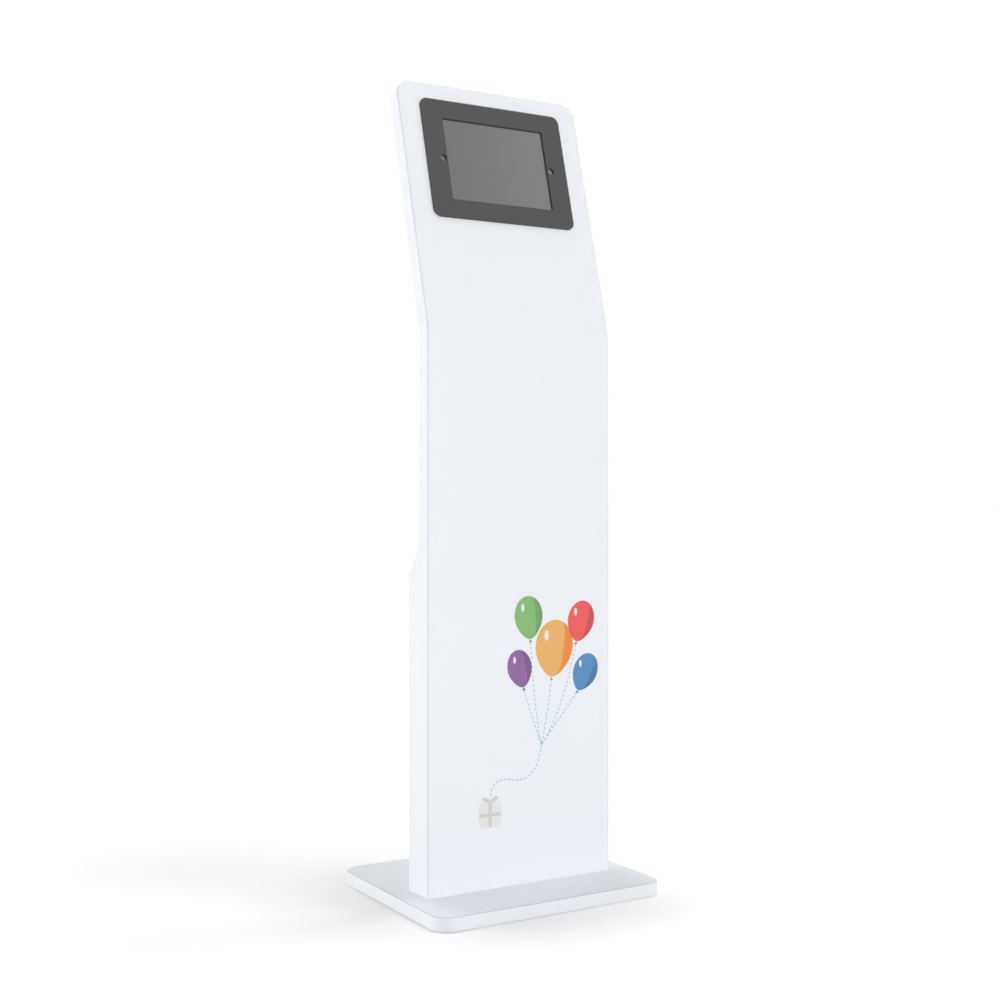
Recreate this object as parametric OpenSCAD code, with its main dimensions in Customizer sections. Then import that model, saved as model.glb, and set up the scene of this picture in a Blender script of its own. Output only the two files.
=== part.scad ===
// Tablet security kiosk stand: a folded steel tower with a leaning head on a weighted base.
// Millimetres, +Z up, origin on the floor under the middle of the base, front towards -Y.

/* [Tower] */
// Width across the front panel
panel_w = 360; // [330:1:400]
// Height of the fold line above the base
fold_h = 933; // [860:1:1000]
// Depth of the slim column and of the head
slim_d = 29.5; // [27:0.1:34]
// Depth of the cabinet at the foot of the tower
deep_d = 65.5; // [56:0.1:80]
// Height above the base where the cabinet's upright back ends
step_low = 523.5; // [480:0.5:545]
// Height above the base where the slim column's back begins
step_high = 573; // [560:0.5:620]
// Thickness of the tower's steel sheet
sheet_t = 2; // [1.6:0.1:2.2]
// Outside radius of the bend round the front panel
bend_r = 2.4; // [2.2:0.1:4]
// Radius of the bend reliefs at the ends of the fold
relief_r = 1.2; // [0.8:0.1:1.4]
// Gap left for the weld where two sheets meet edge to edge
weld_gap = 0.05; // [0.02:0.01:0.1]

/* [Head] */
// Angle by which the head leans back
tilt = 15; // [8:0.5:20]
// Length of the head's face above the fold
head_len = 446; // [430:1:500]
// Radius of the head's upper corners
head_r = 28; // [25:1:36]

/* [Rear frame] */
// Width of the lip that shows beside the rear doors
lip_w = 10; // [9:0.5:12]
// Width of the strip that the doors close on, past the lip
stop_w = 10; // [9:0.5:12]
// Gap round the edge of each rear panel
door_gap = 1.5; // [1:0.1:2.5]
// Gap between a closed panel and the strip behind it
seat_gap = 0.3; // [0.2:0.05:0.6]
// Length of each leg of the rail behind the fold
rail_leg = 26; // [18:1:36]
// Upright edge of the back panel below the step
back_leg = 16; // [12:1:22]
// Overlap of the cabinet rail behind the cabinet door
rail_lap = 14; // [10:1:20]
// Distance of the back panel's screws from its side edges
screw_inset = 4; // [3.8:0.1:5]
// Number of screws down each side of the back panel
screw_count = 3; // [2:1:4]
// Distance of the end screws from the ends of the slim column's back
screw_end = 40; // [34:1:70]
// Radius of the back panel screws' shanks
screw_r = 1.5; // [1.2:0.1:1.6]
// Radius of the back panel screws' heads
screw_head_r = 3; // [2.6:0.1:3.2]
// Radius of the flat on top of those heads
screw_crown_r = 2; // [1.8:0.1:2.4]
// Height of the back panel screws' heads
screw_head_t = 1.6; // [1.2:0.1:2.2]
// Width of the back panel screws' sockets across the flats
screw_hex = 2.5; // [2:0.1:2.8]
// Depth of the back panel screws' sockets
screw_socket = 1; // [0.6:0.1:1.4]
// Length of the back panel screws' shanks
screw_len = 8; // [7:0.5:12]

/* [Base] */
// Width of the base
base_w = 436; // [410:1:520]
// Depth of the base
base_d = 360; // [330:1:420]
// Radius of the base's corners
base_r = 32; // [24:1:44]
// Height of the base cover's skirt
skirt_h = 22.5; // [20.5:0.5:28]
// Gap between the skirt and the floor
floor_gap = 1; // [0.5:0.1:3]
// Distance of the tower's front behind the base's front edge
setback = 110; // [90:1:130]
// Thickness of the steel ballast plate
ballast_t = 12; // [8:0.5:13]
// Gap between the ballast plate and the skirt
ballast_gap = 1; // [0.5:0.1:3]
// Radius of the rubber feet
foot_r = 20; // [15:0.5:26]
// Distance of the feet's centres from the base's sides
foot_inset = 46; // [40:1:60]
// Chamfer round the feet
foot_edge = 1.5; // [0.5:0.1:2.5]
// Radius of the foot screws' shanks
foot_screw_r = 2.5; // [2:0.1:3]
// Radius of the foot screws' heads
foot_head_r = 5; // [4.6:0.1:6]
// Height of the foot screws' heads
foot_head_t = 3; // [2:0.1:3.5]
// Width of the foot screws' sockets across the flats
foot_hex = 4; // [3:0.1:5]
// Depth of the foot screws' sockets
foot_socket = 1.8; // [1:0.1:2.2]
// Depth of a foot screw's thread in the ballast plate
foot_thread = 6; // [5:0.5:7]

/* [Tower foot] */
// Thickness of the bracket that holds the tower to the base
bracket_t = 3; // [2.5:0.1:4]
// Height of the bracket's front flange
bracket_front = 30; // [20:1:45]
// Height of the bracket's rear flange
bracket_rear = 26; // [24:1:32]
// Radius of the tower bolts' shanks
bolt_r = 4; // [3:0.1:4.5]
// Distance between the bolts across the tower
bolt_pitch_x = 260; // [220:1:280]
// Distance between the bolts from front to back
bolt_pitch_y = 26; // [22:0.5:28]
// Radius of the bolts' washer flanges
bolt_flange_r = 8.5; // [7.6:0.1:9]
// Thickness of the bolts' washer flanges
bolt_flange_t = 1.6; // [1.2:0.1:2]
// Width of the bolts' hexagons across the flats
bolt_hex = 13; // [10:0.5:14]
// Height of the bolts' hexagons
bolt_hex_t = 6; // [5:0.1:7]
// Radius of the floor anchor holes
anchor_r = 5.5; // [4.5:0.1:6.5]
// Distance between the floor anchor holes
anchor_pitch = 140; // [100:1:180]

/* [Bezel] */
// Width of the bezel's flange
bezel_w = 280; // [276:1:292]
// Height of the bezel's flange
bezel_h = 218; // [206:1:232]
// Corner radius of the bezel's flange
bezel_r = 14; // [8:0.5:20]
// Thickness of the flange, which stands proud of the panel
bezel_t = 3.2; // [3:0.1:5]
// Height of the bezel's middle above the fold, along the face
bezel_up = 305.5; // [295:0.5:315]
// Width of the screen window
window_w = 201; // [190:0.5:204]
// Height of the screen window
window_h = 150; // [140:0.5:156]
// Corner radius of the screen window
window_r = 1.5; // [1:0.1:4]
// Radius of the button hole and the camera hole
port_r = 6; // [5.8:0.1:6.2]
// Distance of those holes from the window's middle
port_x = 108.2; // [107.5:0.1:109.5]
// Rim of the boss beyond the holes and the window
boss_rim = 5; // [4:0.5:6]
// Gap between the boss and the panel's cut-out
boss_gap = 0.4; // [0.2:0.05:0.8]
// Radius of the bezel's studs
stud_r = 2; // [1.5:0.1:2.2]
// Distance of the studs from the flange's sides
stud_inset = 9; // [8:0.5:10]
// Height of the studs above and below the bezel's middle
stud_z = 62; // [50:1:70]
// Distance of the glass behind the panel's front face
glass_depth = 2.4; // [2.3:0.1:3]

/* [Tablet] */
// Width of the tablet
tablet_w = 240; // [236:0.5:242]
// Height of the tablet
tablet_h = 169.5; // [166:0.5:176]
// Thickness of the tablet with its glass
tablet_t = 7.5; // [6.5:0.1:8.5]
// Corner radius of the tablet
tablet_r = 9; // [6:0.5:14]
// Thickness of the tablet's glass
glass_t = 1; // [0.7:0.1:1.2]
// Step from the tablet's edge in to the glass
glass_edge = 0.6; // [0.3:0.1:1.5]
// Rounding of the tablet shell's rear edge
shell_edge = 3; // [1:0.1:4]
// Radius of the home button
home_r = 5; // [4.5:0.1:5.3]
// Gap round the home button
home_gap = 0.15; // [0.1:0.05:0.3]
// Distance that the home button travels
home_travel = 0.4; // [0.3:0.05:0.6]
// Thickness of the home button
home_t = 1.6; // [1.4:0.1:2.2]
// Radius of the camera lens
lens_r = 2; // [1.5:0.1:3]

/* [Tablet clamp] */
// Thickness of the clamp plate
clamp_t = 1.5; // [1.2:0.1:2]
// Thickness of the foam pads
pad_t = 2; // [1.5:0.1:3]
// Width of the foam pads
pad_w = 22; // [16:1:30]
// Length of the foam pads
pad_l = 110; // [80:1:120]
// Gap between the tablet's edge and the clamp's fingers
finger_gap = 0.5; // [0.3:0.1:0.8]
// Length of the clamp's fingers
finger_l = 44; // [30:1:60]
// Reach of the clamp's ears past the studs
ear_reach = 7; // [6:0.5:8]
// Radius of the cut-out in the clamp plate's middle
clamp_hole_r = 30; // [20:1:40]
// Outside radius of the spacers on the studs
spacer_r = 3.6; // [3:0.1:4.2]
// Width of the stud nuts across the flats
nut_hex = 8; // [7:0.5:9]
// Thickness of the stud nuts
nut_t = 4; // [3:0.1:5]
// Clearance round each stud
stud_fit = 0.2; // [0.1:0.05:0.3]

/* [Doors] */
// Length of the vent slots
vent_l = 40; // [30:1:50]
// Width of the vent slots
vent_w = 4; // [3:0.5:5]
// Distance between neighbouring vent slots
vent_pitch = 14; // [10:0.5:16]
// Number of vent slots in a row
vent_count = 9; // [5:2:11]
// Distance of the head door's vents below its top edge
head_vent_drop = 70; // [50:1:90]
// Distance of the cabinet door's vents below its top edge
cabinet_vent_drop = 70; // [50:1:90]
// Gap between the cabinet door and the base
door_floor = 2; // [1.5:0.1:3]
// Width of the cable notch
notch_w = 34; // [26:1:40]
// Height of the cable notch above the base
notch_h = 20; // [16:0.5:20]
// Corner radius of the cable notch
notch_r = 8; // [5:0.5:10]
// Distance of the cable notch from the free edge of the door
notch_inset = 72.5; // [60:0.5:110]
// Thickness of the rubber trim round the notch
trim_t = 1.2; // [0.8:0.1:1.5]
// Depth of the trim's lips over the door's faces
trim_lip = 2.5; // [2:0.1:3]

/* [Hinges] */
// Length of each hinge
hinge_len = 60; // [45:1:75]
// Radius of the knuckles
knuckle_r = 3.5; // [3:0.1:4]
// Radius of the hinge pins
pin_r = 1.75; // [1.4:0.05:2]
// Running clearance between pin and knuckle
pin_fit = 0.05; // [0.02:0.01:0.08]
// Gap between the knuckles and what they turn beside
knuckle_gap = 0.3; // [0.2:0.05:0.5]
// Thickness of the hinge leaves
leaf_t = 1.5; // [1:0.1:2]
// Width of the leaves on the doors
leaf_w = 20; // [14:1:26]
// Distance of the frame leaves from the tower's side
leaf_inset = 1; // [0.5:0.1:1.5]
// Radius of the pins' heads
pin_head_r = 2.6; // [2.2:0.1:3.2]
// Height of the pins' heads
pin_head_t = 1; // [0.6:0.1:1.5]
// Height of the head's lower hinge above the fold
head_hinge_low = 60; // [40:1:90]
// Distance of the head's upper hinge below the door's top edge
head_hinge_drop = 54.5; // [40:0.5:90]
// Height of the cabinet's lower hinge above the base
cabinet_hinge_low = 60; // [50:1:100]
// Distance of the cabinet's upper hinge below the door's top edge
cabinet_hinge_drop = 57.5; // [40:0.5:90]

/* [Locks] */
// Distance of each lock from the free edge of its door
lock_inset = 24; // [22:0.5:26]
// Height of the head lock above the fold
head_lock_up = 150; // [110:1:160]
// Height of the cabinet lock above the base
cabinet_lock_up = 260; // [200:1:320]
// Radius of the lock's threaded housing
lock_r = 9; // [8.4:0.1:9.5]
// Length of the housing behind the door's outer face
lock_len = 11; // [10:0.1:12]
// Radius of the housing's rim
rim_r = 11.5; // [10.5:0.1:12.5]
// Thickness of the housing's rim
rim_t = 2.4; // [1.6:0.1:3]
// Radius of the turning plug
plug_r = 6.5; // [5.5:0.1:7]
// Clearance between plug and housing
plug_fit = 0.05; // [0.03:0.01:0.08]
// Length of the key slot
key_l = 8; // [6:0.1:9]
// Width of the key slot
key_w = 1.4; // [1:0.1:2]
// Depth of the key slot
key_depth = 7; // [4:0.5:9]
// Width of the lock nut across the flats
lock_hex = 22; // [20.5:0.5:24]
// Thickness of the lock nut
lock_nut_t = 3.5; // [3:0.1:4.5]
// Thickness of the cam
cam_t = 2; // [1.5:0.1:2.5]
// Reach of the cam from the lock's axis
cam_len = 24; // [22:0.5:26]
// Width of the cam's arm
cam_w = 11; // [9:0.5:13]
// Gap between the cam and what it turns beside
cam_gap = 0.3; // [0.2:0.05:0.5]
// Length of the keeper along the door's edge
keeper_l = 26; // [20:1:36]

/* [Hidden] */
$fn = 96;
half_w = panel_w / 2;
base_top = floor_gap + skirt_h;
panel_y = setback - base_d / 2;
// Mitre slopes of the bend at the fold and of the two bends at the step
fold_mitre = tan(tilt / 2);
step_mitre = tan(atan2(deep_d - slim_d, step_high - step_low) / 2);
// Height of the head's straight sides, below its round corners
straight_len = head_len - head_r;
wall_len = straight_len - weld_gap;
// Depths of the stop strip's two faces behind the rear surface
stop_near = sheet_t + seat_gap;
stop_far = stop_near + sheet_t;
stop_edge = half_w - lip_w - stop_w;
door_half = half_w - lip_w - door_gap;
screw_x = door_half - screw_inset;
screw_low = step_high + screw_end;
screw_high = fold_h - slim_d * fold_mitre - screw_end;
screw_step = (screw_high - screw_low) / (screw_count - 1);
foot_h = base_top - sheet_t - ballast_t;
cabinet_top = step_low - back_leg;
cabinet_hinge_high = cabinet_top - cabinet_hinge_drop - hinge_len;
head_door_low = slim_d * fold_mitre + door_gap / 2;
head_door_high = head_len - lip_w - door_gap;
head_hinge_high = head_door_high - head_hinge_drop - hinge_len;
boss_w = 2 * (port_x + port_r + boss_rim);
boss_h = window_h + 2 * boss_rim;
stud_x = bezel_w / 2 - stud_inset;
tablet_back = glass_depth + tablet_t;
clamp_face = tablet_back + pad_t;
clamp_back = clamp_face + clamp_t;
hinge_x = -(half_w - lip_w - door_gap / 2);
axis_off = knuckle_r + knuckle_gap;
knuckle_len = hinge_len / 3;
frame_leaf_w = lip_w + door_gap / 2 - axis_off - leaf_inset;
lock_x = door_half - lock_inset;
notch_x = door_half - notch_inset;
plug_end = lock_len + cam_gap;
// Small overrun that lets a cutting shape pass right through what it cuts
over = 1;

paint = [0.93, 0.94, 0.96];
dark = [0.34, 0.34, 0.34];
zinc = [0.72, 0.73, 0.75];
rubber = [0.12, 0.12, 0.12];

// Places: the tower's foot on the base, and the head's face at the fold
module on_base() translate([0, panel_y, base_top]) children();
module on_head() on_base() translate([0, 0, fold_h]) rotate([-tilt, 0, 0]) children();
module on_bezel() on_head() translate([0, 0, bezel_up]) children();
module both_sides() {
    children();
    mirror([1, 0, 0]) children();
}

// A side view outline drawn across the tower, from one width to another
module across(from, to) translate([from, 0, 0]) rotate([90, 0, 90]) linear_extrude(to - from) children();
// A front view outline drawn into the tower, from one depth to another
module inward(from, to) translate([0, to, 0]) rotate([90, 0, 0]) linear_extrude(to - from) children();
// A round bar along the depth
module bar(r, from, to, sides = $fn) translate([0, to, 0]) rotate([90, 0, 0])
    cylinder(r = r, h = to - from, $fn = sides);

// A point of the leaning head in the side view, from its depth and its height up the face
function lean(depth, up) =
    [depth * cos(tilt) + up * sin(tilt), fold_h - depth * sin(tilt) + up * cos(tilt)];
// The front of the side view, and the back of it, each sunk into the tower by a depth
function front_line(depth) = [
    [depth, 0],
    [depth, fold_h - depth * fold_mitre],
    lean(depth, wall_len)];
function back_line(depth, low, trim) = [
    [deep_d - depth, low],
    [deep_d - depth, step_low - depth * step_mitre],
    [slim_d - depth, step_high - depth * step_mitre],
    [slim_d - depth, fold_h - (slim_d - depth) * fold_mitre - trim]];
function rear_line(depth) = concat(back_line(depth, 0, 0), [lean(slim_d - depth, wall_len)]);
function rail_line(depth) = [
    [slim_d - depth, fold_h - rail_leg],
    [slim_d - depth, fold_h - (slim_d - depth) * fold_mitre],
    lean(slim_d - depth, rail_leg)];
// The outline between two such lines
function backwards(line) = [for (i = [len(line) - 1 : -1 : 0]) line[i]];
function between(line, other) = concat(line, backwards(other));

module rounded(w, h, r) {
    square([w - 2 * r, h], center = true);
    square([w, h - 2 * r], center = true);
    for (x = [-1, 1], y = [-1, 1]) translate([x * (w / 2 - r), y * (h / 2 - r)]) circle(r);
}

module slot(l, w) {
    square([w, l - w], center = true);
    for (end = [-1, 1]) translate([0, end * (l - w) / 2]) circle(w / 2);
}

module vents() for (i = [0 : vent_count - 1])
    translate([(i - (vent_count - 1) / 2) * vent_pitch, 0]) slot(vent_l, vent_w);

// A quarter bend of the sheet, measured in from the side face and back from the front face
module bend() difference() {
    intersection() {
        translate([bend_r, bend_r]) circle(bend_r);
        square(bend_r);
    }
    translate([bend_r, bend_r]) circle(bend_r - sheet_t);
}

// Sections of a rim: a bend with its face in to a reach, and the wall behind the bend
module folded_rim(reach) {
    bend();
    translate([bend_r, 0]) square([reach - bend_r, sheet_t]);
}

module rim_wall(from, to) translate([0, from]) square([sheet_t, to - from]);

// A rim section swept round a corner of a standing panel, and along its top
module round_corner(w, h, r) translate([w / 2 - r, 0, h - r]) rotate([90, 0, 0])
    rotate_extrude(angle = 90) translate([r, 0]) rotate(180) children();
module top_run(w, h, r) translate([r - w / 2, 0, h]) rotate([0, 90, 0])
    linear_extrude(w - 2 * r) children();

// Base: a folded cover over a steel plate, on rubber feet
module base_rim() {
    folded_rim(base_r);
    rim_wall(bend_r, skirt_h);
}

module base_half() {
    both_sides() round_corner(base_w, base_d / 2, base_r) base_rim();
    top_run(base_w, base_d / 2, base_r) base_rim();
    both_sides() translate([-base_w / 2, 0, 0]) linear_extrude(base_d / 2 - base_r) base_rim();
    translate([base_r - base_w / 2, 0, 0]) cube([base_w - 2 * base_r, sheet_t, base_d / 2 - base_r]);
}

module base_cover() color(paint) difference() {
    translate([0, 0, base_top]) rotate([-90, 0, 0]) {
        base_half();
        mirror([0, 0, 1]) base_half();
    }
    bolt_holes(bolt_r + stud_fit);
    anchor_holes();
}

module at_bolts() on_base() for (x = [-1, 1], y = [-1, 1])
    translate([x * bolt_pitch_x / 2, deep_d / 2 + y * bolt_pitch_y / 2, 0]) children();
module bolt_holes(r) at_bolts() translate([0, 0, -base_top]) cylinder(r = r, h = 2 * base_top);
module anchor_holes() on_base() for (x = [-1, 1])
    translate([x * anchor_pitch / 2, deep_d / 2, -base_top]) cylinder(r = anchor_r, h = 2 * base_top);
module at_feet() for (x = [-1, 1], y = [-1, 1])
    translate([x * (base_w / 2 - foot_inset), y * (base_d / 2 - foot_inset), 0]) children();

module ballast_plate() color(zinc) difference() {
    translate([0, 0, foot_h]) linear_extrude(ballast_t) rounded(
        base_w - 2 * (sheet_t + ballast_gap),
        base_d - 2 * (sheet_t + ballast_gap),
        base_r - sheet_t - ballast_gap);
    bolt_holes(bolt_r + pin_fit);
    anchor_holes();
    at_feet() cylinder(r = foot_screw_r + pin_fit, h = foot_h + foot_thread);
}

module rubber_feet() color(rubber) at_feet() difference() {
    rotate_extrude() polygon([
        [0, 0], [foot_r - foot_edge, 0], [foot_r, foot_edge], [foot_r, foot_h], [0, foot_h]]);
    translate([0, 0, -over]) cylinder(r = foot_screw_r + stud_fit, h = foot_h + 2 * over);
    translate([0, 0, -over]) cylinder(r = foot_head_r + stud_fit, h = foot_head_t + 2 * over);
}

module foot_screws() color(zinc) at_feet() translate([0, 0, over]) difference() {
    union() {
        cylinder(r = foot_head_r, h = foot_head_t);
        cylinder(r = foot_screw_r, h = foot_h + foot_thread - 2 * over);
    }
    translate([0, 0, -over]) cylinder(r = foot_hex / sqrt(3), h = over + foot_socket, $fn = 6);
}

// Foot of the tower: a folded channel bolted through the base
module foot_bracket() color(zinc) difference() {
    on_base() across(-stop_edge, stop_edge) polygon([
        [sheet_t, 0],
        [deep_d - stop_near, 0],
        [deep_d - stop_near, bracket_rear],
        [deep_d - stop_near - bracket_t, bracket_rear],
        [deep_d - stop_near - bracket_t, bracket_t],
        [sheet_t + bracket_t, bracket_t],
        [sheet_t + bracket_t, bracket_front],
        [sheet_t, bracket_front]]);
    bolt_holes(bolt_r + stud_fit);
    anchor_holes();
    on_base() translate([notch_x, 0, bracket_t])
        inward(deep_d - stop_near - bracket_t - over, deep_d) cable_notch(trim_t + trim_lip, base_top);
}

module tower_bolts() color(zinc) at_bolts() {
    translate([0, 0, bracket_t]) cylinder(r = bolt_flange_r, h = bolt_flange_t);
    translate([0, 0, bracket_t]) cylinder(r = bolt_hex / sqrt(3), h = bolt_flange_t + bolt_hex_t, $fn = 6);
    translate([0, 0, over - sheet_t - ballast_t])
        cylinder(r = bolt_r, h = sheet_t + ballast_t + bracket_t);
}

// Front of the tower: two sheets, bent back round their edges, that meet at the fold
module below_fold() translate([0, 0, fold_h]) rotate([-tilt / 2, 0, 0])
    translate([-panel_w, -panel_w, -2 * fold_h - weld_gap / 2]) cube([2 * panel_w, 2 * panel_w, 2 * fold_h]);
module above_fold() rotate([tilt / 2, 0, 0])
    translate([-panel_w, -panel_w, weld_gap / 2]) cube([2 * panel_w, 2 * panel_w, 2 * head_len]);
module panel_section() {
    both_sides() translate([-half_w, 0]) bend();
    translate([bend_r - half_w, 0]) square([panel_w - 2 * bend_r, sheet_t]);
}

// Bend reliefs: small round holes through the side bends at the ends of the fold
module fold_reliefs() for (x = [-1, 1]) translate([x * half_w, 0, 0]) rotate([90, 0, x * 45])
    cylinder(r = relief_r, h = 4 * bend_r, center = true);

module front_panel() color(paint) on_base() difference() {
    intersection() {
        linear_extrude(fold_h) panel_section();
        below_fold();
    }
    translate([0, 0, fold_h]) fold_reliefs();
}

module head_panel() color(paint) difference() {
    on_head() intersection() {
        union() {
            linear_extrude(straight_len) panel_section();
            both_sides() round_corner(panel_w, head_len, head_r) folded_rim(head_r);
            top_run(panel_w, head_len, head_r) folded_rim(head_r);
        }
        above_fold();
    }
    on_head() fold_reliefs();
    on_bezel() inward(-over, sheet_t + over)
        rounded(boss_w + 2 * boss_gap, boss_h + 2 * boss_gap, window_r + boss_rim);
    at_studs() bar(stud_r + stud_fit, -over, sheet_t + over);
}

// Side walls: flat stepped sheets behind the bends of the front
module side_wall() on_base() across(-half_w, sheet_t - half_w)
    polygon(between(rear_line(0), front_line(bend_r + weld_gap)));

module left_side_wall() color(paint) side_wall();
module right_side_wall() color(paint) mirror([1, 0, 0]) side_wall();

// Rear frames: folded strips inside the walls' rear edges, with a lip and a stop for the panels
module rear_frame() on_base() difference() {
    union() {
        across(sheet_t - half_w, lip_w - half_w) polygon(between(rear_line(0), rear_line(sheet_t)));
        across(lip_w - sheet_t - half_w, lip_w - half_w)
            polygon(between(rear_line(0), rear_line(stop_far)));
        across(lip_w - sheet_t - half_w, -stop_edge)
            polygon(between(rear_line(stop_near), rear_line(stop_far)));
    }
    back_screw_holes(screw_r + pin_fit);
}

module left_rear_frame() color(paint) rear_frame();
module right_rear_frame() color(paint) mirror([1, 0, 0]) rear_frame();

module band_section() {
    rim_wall(bend_r + weld_gap, slim_d);
    translate([0, slim_d - sheet_t]) square([lip_w, sheet_t]);
    translate([lip_w - sheet_t, slim_d - stop_far]) square([sheet_t, stop_far]);
    translate([lip_w - sheet_t, slim_d - stop_far]) square([sheet_t + stop_w, sheet_t]);
}

module top_band() color(paint) on_head() {
    both_sides() round_corner(panel_w, head_len, head_r) band_section();
    top_run(panel_w, head_len, head_r) band_section();
}

// Cross rails between the rear frames
module fold_rail() color(paint) on_base() across(-stop_edge, stop_edge)
    polygon(between(rail_line(stop_near), rail_line(stop_far)));

module cabinet_rail() color(paint) on_base()
    translate([-stop_edge, deep_d - stop_far, cabinet_top - rail_lap])
        cube([2 * stop_edge, sheet_t, rail_lap + back_leg - stop_far * step_mitre]);

// Fixed back panel, from the cabinet door up over the step to the fold
module at_back_screws() for (x = [-1, 1], i = [0 : screw_count - 1])
    translate([x * screw_x, slim_d, screw_low + i * screw_step]) children();
module back_screw_holes(r) at_back_screws() bar(r, -stop_far - over, over);

module back_panel() color(paint) on_base() difference() {
    across(-door_half, door_half) polygon(between(
        back_line(0, cabinet_top + door_gap, door_gap / 2),
        back_line(sheet_t, cabinet_top + door_gap, door_gap / 2)));
    back_screw_holes(screw_r + stud_fit);
}

module back_panel_screws() color(zinc) on_base() at_back_screws() difference() {
    union() {
        bar(screw_head_r, 0, screw_head_t / 2);
        translate([0, screw_head_t / 2, 0]) rotate([-90, 0, 0])
            cylinder(r1 = screw_head_r, r2 = screw_crown_r, h = screw_head_t / 2);
        bar(screw_r, -screw_len, screw_head_t / 2);
    }
    bar(screw_hex / sqrt(3), screw_head_t - screw_socket, screw_head_t + over, 6);
}

// Bezel: a flange on the panel's face, a boss through its cut-out, and welded studs behind
module at_studs() on_bezel() for (x = [-1, 1], z = [-1, 1])
    translate([x * stud_x, 0, z * stud_z]) children();

module bezel() color(dark) on_bezel() difference() {
    union() {
        inward(-bezel_t, 0) rounded(bezel_w, bezel_h, bezel_r);
        inward(0, glass_depth) rounded(boss_w, boss_h, window_r + boss_rim);
    }
    inward(-bezel_t - over, glass_depth + over) rounded(window_w, window_h, window_r);
    for (x = [-1, 1]) translate([x * port_x, 0, 0])
        bar(port_r, -bezel_t - over, glass_depth + over);
}

module bezel_studs() color(zinc) at_studs() bar(stud_r, 0, clamp_back + nut_t + over);

module stud_spacers() color(zinc) at_studs() difference() {
    bar(spacer_r, sheet_t, clamp_face);
    bar(stud_r + stud_fit, sheet_t - over, clamp_face + over);
}

module stud_nuts() color(zinc) at_studs() difference() {
    bar(nut_hex / sqrt(3), clamp_back, clamp_back + nut_t, 6);
    bar(stud_r + pin_fit, clamp_back - over, clamp_back + nut_t + over);
}

// Clamp: a plate with ears on the studs and fingers round the tablet's edge
module clamp_outline() {
    square([2 * (tablet_w / 2 + finger_gap + clamp_t), finger_l], center = true);
    square([finger_l, 2 * (tablet_h / 2 + finger_gap + clamp_t)], center = true);
    rounded(tablet_w - tablet_r, tablet_h - tablet_r, tablet_r);
    for (z = [-1, 1]) translate([0, z * stud_z])
        rounded(2 * (stud_x + ear_reach), 2 * ear_reach, ear_reach / 2);
}

module clamp_plate() color(zinc) difference() {
    on_bezel() {
        inward(clamp_face, clamp_back) clamp_outline();
        for (x = [-1, 1]) translate([x * (tablet_w / 2 + finger_gap + clamp_t / 2), 0, 0])
            inward(glass_depth + glass_t, clamp_back) square([clamp_t, finger_l], center = true);
        for (z = [-1, 1]) translate([0, 0, z * (tablet_h / 2 + finger_gap + clamp_t / 2)])
            inward(glass_depth + glass_t, clamp_back) square([finger_l, clamp_t], center = true);
    }
    on_bezel() bar(clamp_hole_r, clamp_face - over, clamp_back + over);
    at_studs() bar(stud_r + stud_fit, clamp_face - over, clamp_back + over);
}

module foam_pads() color(rubber) on_bezel() for (x = [-1, 1])
    translate([x * (tablet_w / 2 - tablet_r - pad_w), 0, 0])
        inward(tablet_back, clamp_face) rounded(pad_w, pad_l, pad_w / 4);

// Tablet: an aluminium shell with its glass, camera and home button
module tablet_shell() color(zinc) on_bezel() difference() {
    union() {
        inward(glass_depth + glass_edge, tablet_back - shell_edge) rounded(tablet_w, tablet_h, tablet_r);
        inward(glass_depth + glass_edge, tablet_back)
            rounded(tablet_w - 2 * shell_edge, tablet_h - 2 * shell_edge, tablet_r - shell_edge / 2);
        inward(tablet_back - shell_edge, tablet_back - shell_edge / 2)
            rounded(tablet_w - shell_edge, tablet_h - shell_edge, tablet_r);
    }
    inward(glass_depth, glass_depth + glass_t)
        rounded(tablet_w - 2 * glass_edge, tablet_h - 2 * glass_edge, tablet_r - glass_edge);
    translate([port_x, 0, 0]) bar(home_r + home_gap, 0, glass_depth + home_t + home_travel + home_gap);
}

module tablet_glass() color(dark) on_bezel() difference() {
    inward(glass_depth, glass_depth + glass_t)
        rounded(tablet_w - 2 * glass_edge, tablet_h - 2 * glass_edge, tablet_r - glass_edge);
    translate([port_x, 0, 0]) bar(home_r + home_gap, 0, glass_depth + glass_t + over);
    translate([-port_x, 0, 0]) bar(lens_r + home_gap, 0, glass_depth + glass_t + over);
}

module camera_lens() color(rubber) on_bezel() translate([-port_x, 0, 0])
    bar(lens_r, glass_depth + home_gap, glass_depth + glass_t);

module home_button() color(dark) on_bezel() translate([port_x, 0, 0]) difference() {
    bar(home_r, glass_depth, glass_depth + home_t);
    translate([0, glass_depth - 4 * home_r, 0]) sphere(r = 4 * home_r + home_gap);
}

// Rear doors: flat sheets that close flush with the lips
module lock_hole(depth) bar(lock_r + pin_fit, depth - sheet_t - over, depth + over);

module head_door() color(paint) on_head() difference() {
    union() {
        translate([0, 0, (head_door_low + straight_len) / 2])
            inward(slim_d - sheet_t, slim_d)
                square([2 * door_half, straight_len - head_door_low], center = true);
        translate([0, 0, (head_door_low + head_door_high) / 2]) inward(slim_d - sheet_t, slim_d)
            rounded(2 * door_half, head_door_high - head_door_low, head_r - lip_w - door_gap);
    }
    translate([0, 0, head_door_high - head_vent_drop])
        inward(slim_d - sheet_t - over, slim_d + over) vents();
    translate([lock_x, 0, head_lock_up]) lock_hole(slim_d);
}

// The notch's outline, widened by a margin, from its foot up to its round upper corners
module cable_notch(margin, drop) {
    translate([0, (notch_h + margin - drop) / 2])
        rounded(notch_w + 2 * margin, notch_h + margin + drop, notch_r);
}

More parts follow.
